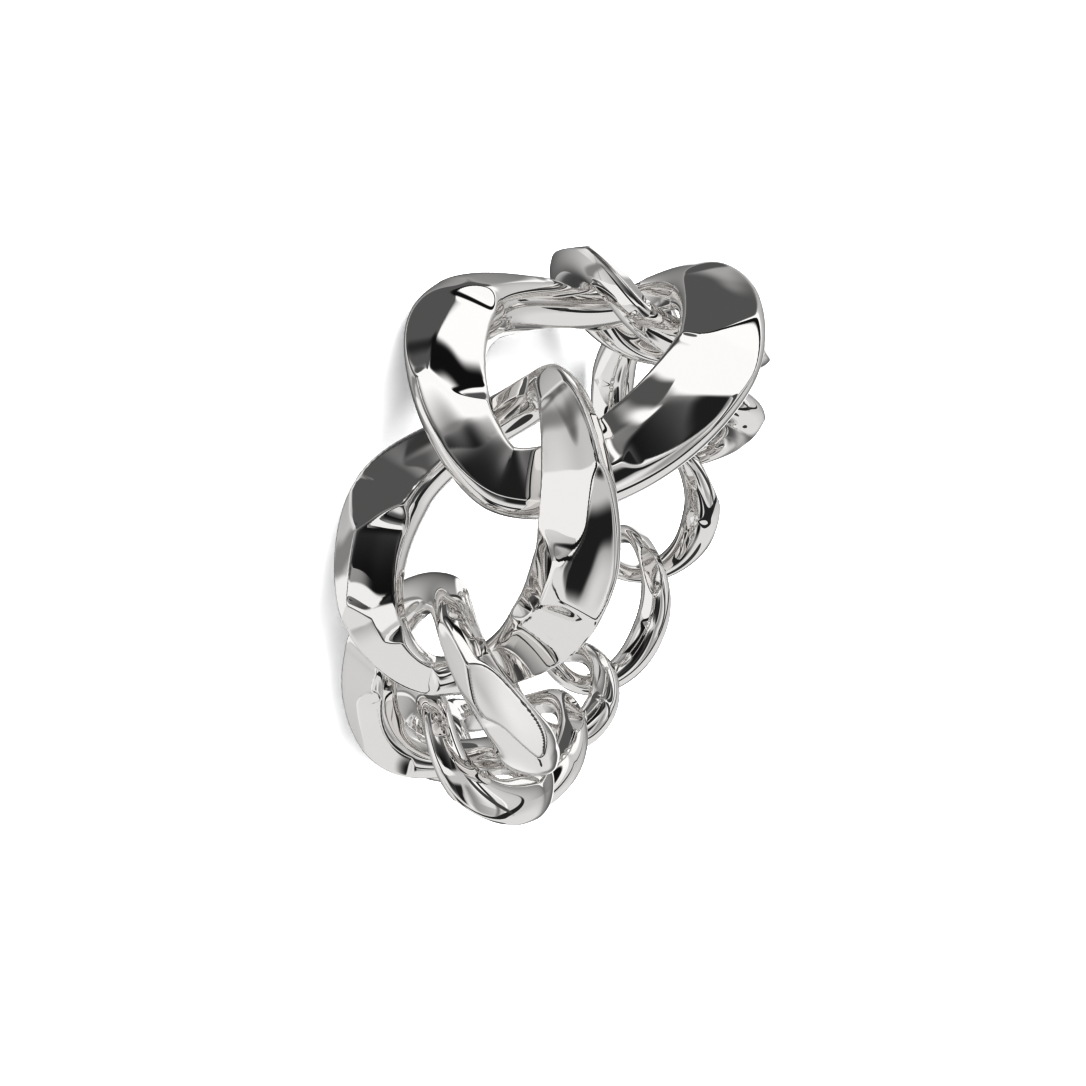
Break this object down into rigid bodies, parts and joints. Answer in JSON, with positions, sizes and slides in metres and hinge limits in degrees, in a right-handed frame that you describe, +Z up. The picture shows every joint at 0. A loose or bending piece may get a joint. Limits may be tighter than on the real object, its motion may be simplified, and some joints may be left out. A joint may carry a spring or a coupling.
{
  "type": "chain link ring",
  "caption": "Finger ring made of a closed, graduated curb chain of polished silver links, with small flats cut on the largest ones.",
  "frame": {"origin": "middle of the ring's footprint, on the surface that the ring lies on", "axes": "+Z up from that surface, about along the finger; the largest link faces -Y and +X is to the right when it is seen from the front"},
  "size_m": [0.0258, 0.0246, 0.0131],
  "materials": {
    "silver": "polished"
  },
  "bodies": {
    "root": {"link_top": "silver", "link_left_2": "silver", "link_left_3": "silver", "link_left_4": "silver", "link_left_5": "silver", "link_base": "silver", "link_right_5": "silver", "link_right_4": "silver", "link_right_3": "silver", "link_right_2": "silver"}
  },
  "joints": []
}
